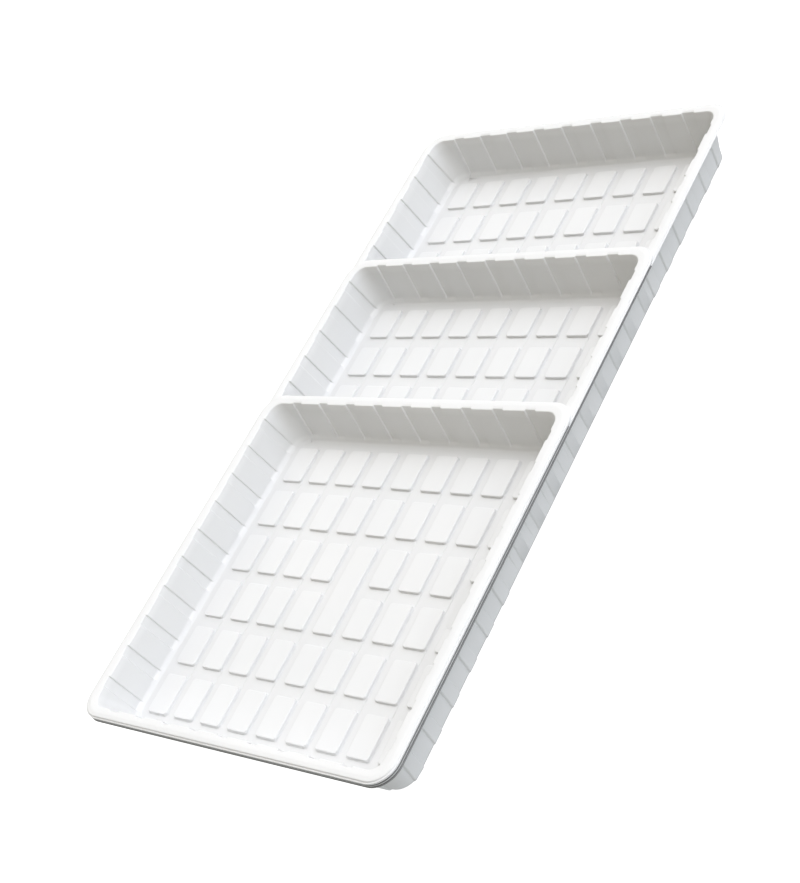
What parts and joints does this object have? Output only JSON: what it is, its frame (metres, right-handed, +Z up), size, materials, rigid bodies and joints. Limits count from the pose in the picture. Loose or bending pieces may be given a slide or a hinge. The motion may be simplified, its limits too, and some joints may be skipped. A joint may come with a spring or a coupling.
{
  "type": "nested flood tray set",
  "caption": "Nested set of shallow white formed plastic growing trays of one width and stepped lengths, with fluted walls, turned rims and a floor of raised pads.",
  "frame": {"origin": "middle of the bounding box, on the surface that the longest tray stands on", "axes": "+X across the trays to the side with the drain well, +Y along the trays away from the end where all three ends line up, +Z up"},
  "size_m": [1.2434, 2.429, 0.1746],
  "materials": {
    "long_tray": "white satin formed sheet",
    "medium_tray": "white satin formed sheet",
    "short_tray": "white satin formed sheet"
  },
  "bodies": {
    "long_tray": {"long_tray": "long_tray"},
    "medium_tray": {"medium_tray": "medium_tray"},
    "short_tray": {"short_tray": "short_tray"}
  },
  "joints": [
    {"name": "medium_lift", "type": "slide", "parent": "long_tray", "child": "medium_tray", "axis": [0, 0, 1], "range_m": [0, 0.18]},
    {"name": "short_lift", "type": "slide", "parent": "medium_tray", "child": "short_tray", "axis": [0, 0, 1], "range_m": [0, 0.18]}
  ]
}
